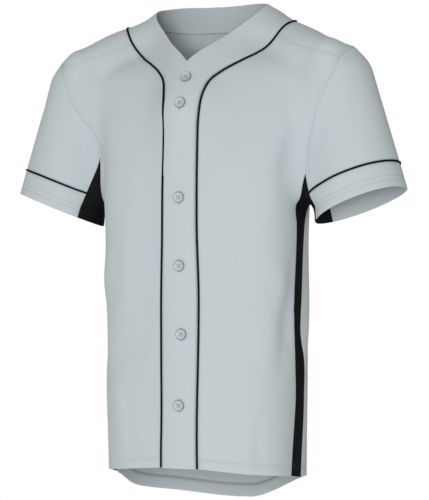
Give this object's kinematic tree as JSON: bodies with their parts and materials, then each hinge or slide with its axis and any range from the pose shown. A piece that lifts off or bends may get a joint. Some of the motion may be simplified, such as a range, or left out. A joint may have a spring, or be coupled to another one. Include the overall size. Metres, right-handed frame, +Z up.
{
  "type": "baseball jersey",
  "caption": "Short-sleeved baseball jersey with a full button placket, piped V neckband, piped cuffs, dark side panels and a dropped tail, filled out as worn.",
  "frame": {"origin": "between the shoulders on the garment's middle plane, level with the high point of each shoulder seam", "axes": "+Z up to the neck, -Y towards the front, +X towards the wearer's left"},
  "size_m": [0.6926, 0.2762, 0.8528],
  "materials": {
    "grey_knit": "matt polyester double knit, light grey",
    "black_knit": "matt polyester knit, black",
    "piping": "black knit folded over a thin cord",
    "button": "moulded polyester resin, light grey, slightly glossy"
  },
  "bodies": {
    "root": {"back": "grey_knit", "front_left": "grey_knit", "front_right": "grey_knit", "sleeve_left": "grey_knit", "sleeve_right": "grey_knit", "cuff_left": "grey_knit", "cuff_right": "grey_knit", "band_left": "grey_knit", "band_right": "grey_knit", "side_panel_left": "black_knit", "side_panel_right": "black_knit", "sleeve_gusset_left": "black_knit", "sleeve_gusset_right": "black_knit", "piping_left": "piping", "piping_right": "piping", "sleeve_piping_left": "piping", "sleeve_piping_right": "piping", "button_1": "button", "button_2": "button", "button_3": "button", "button_4": "button", "button_5": "button", "button_6": "button"}
  },
  "joints": []
}
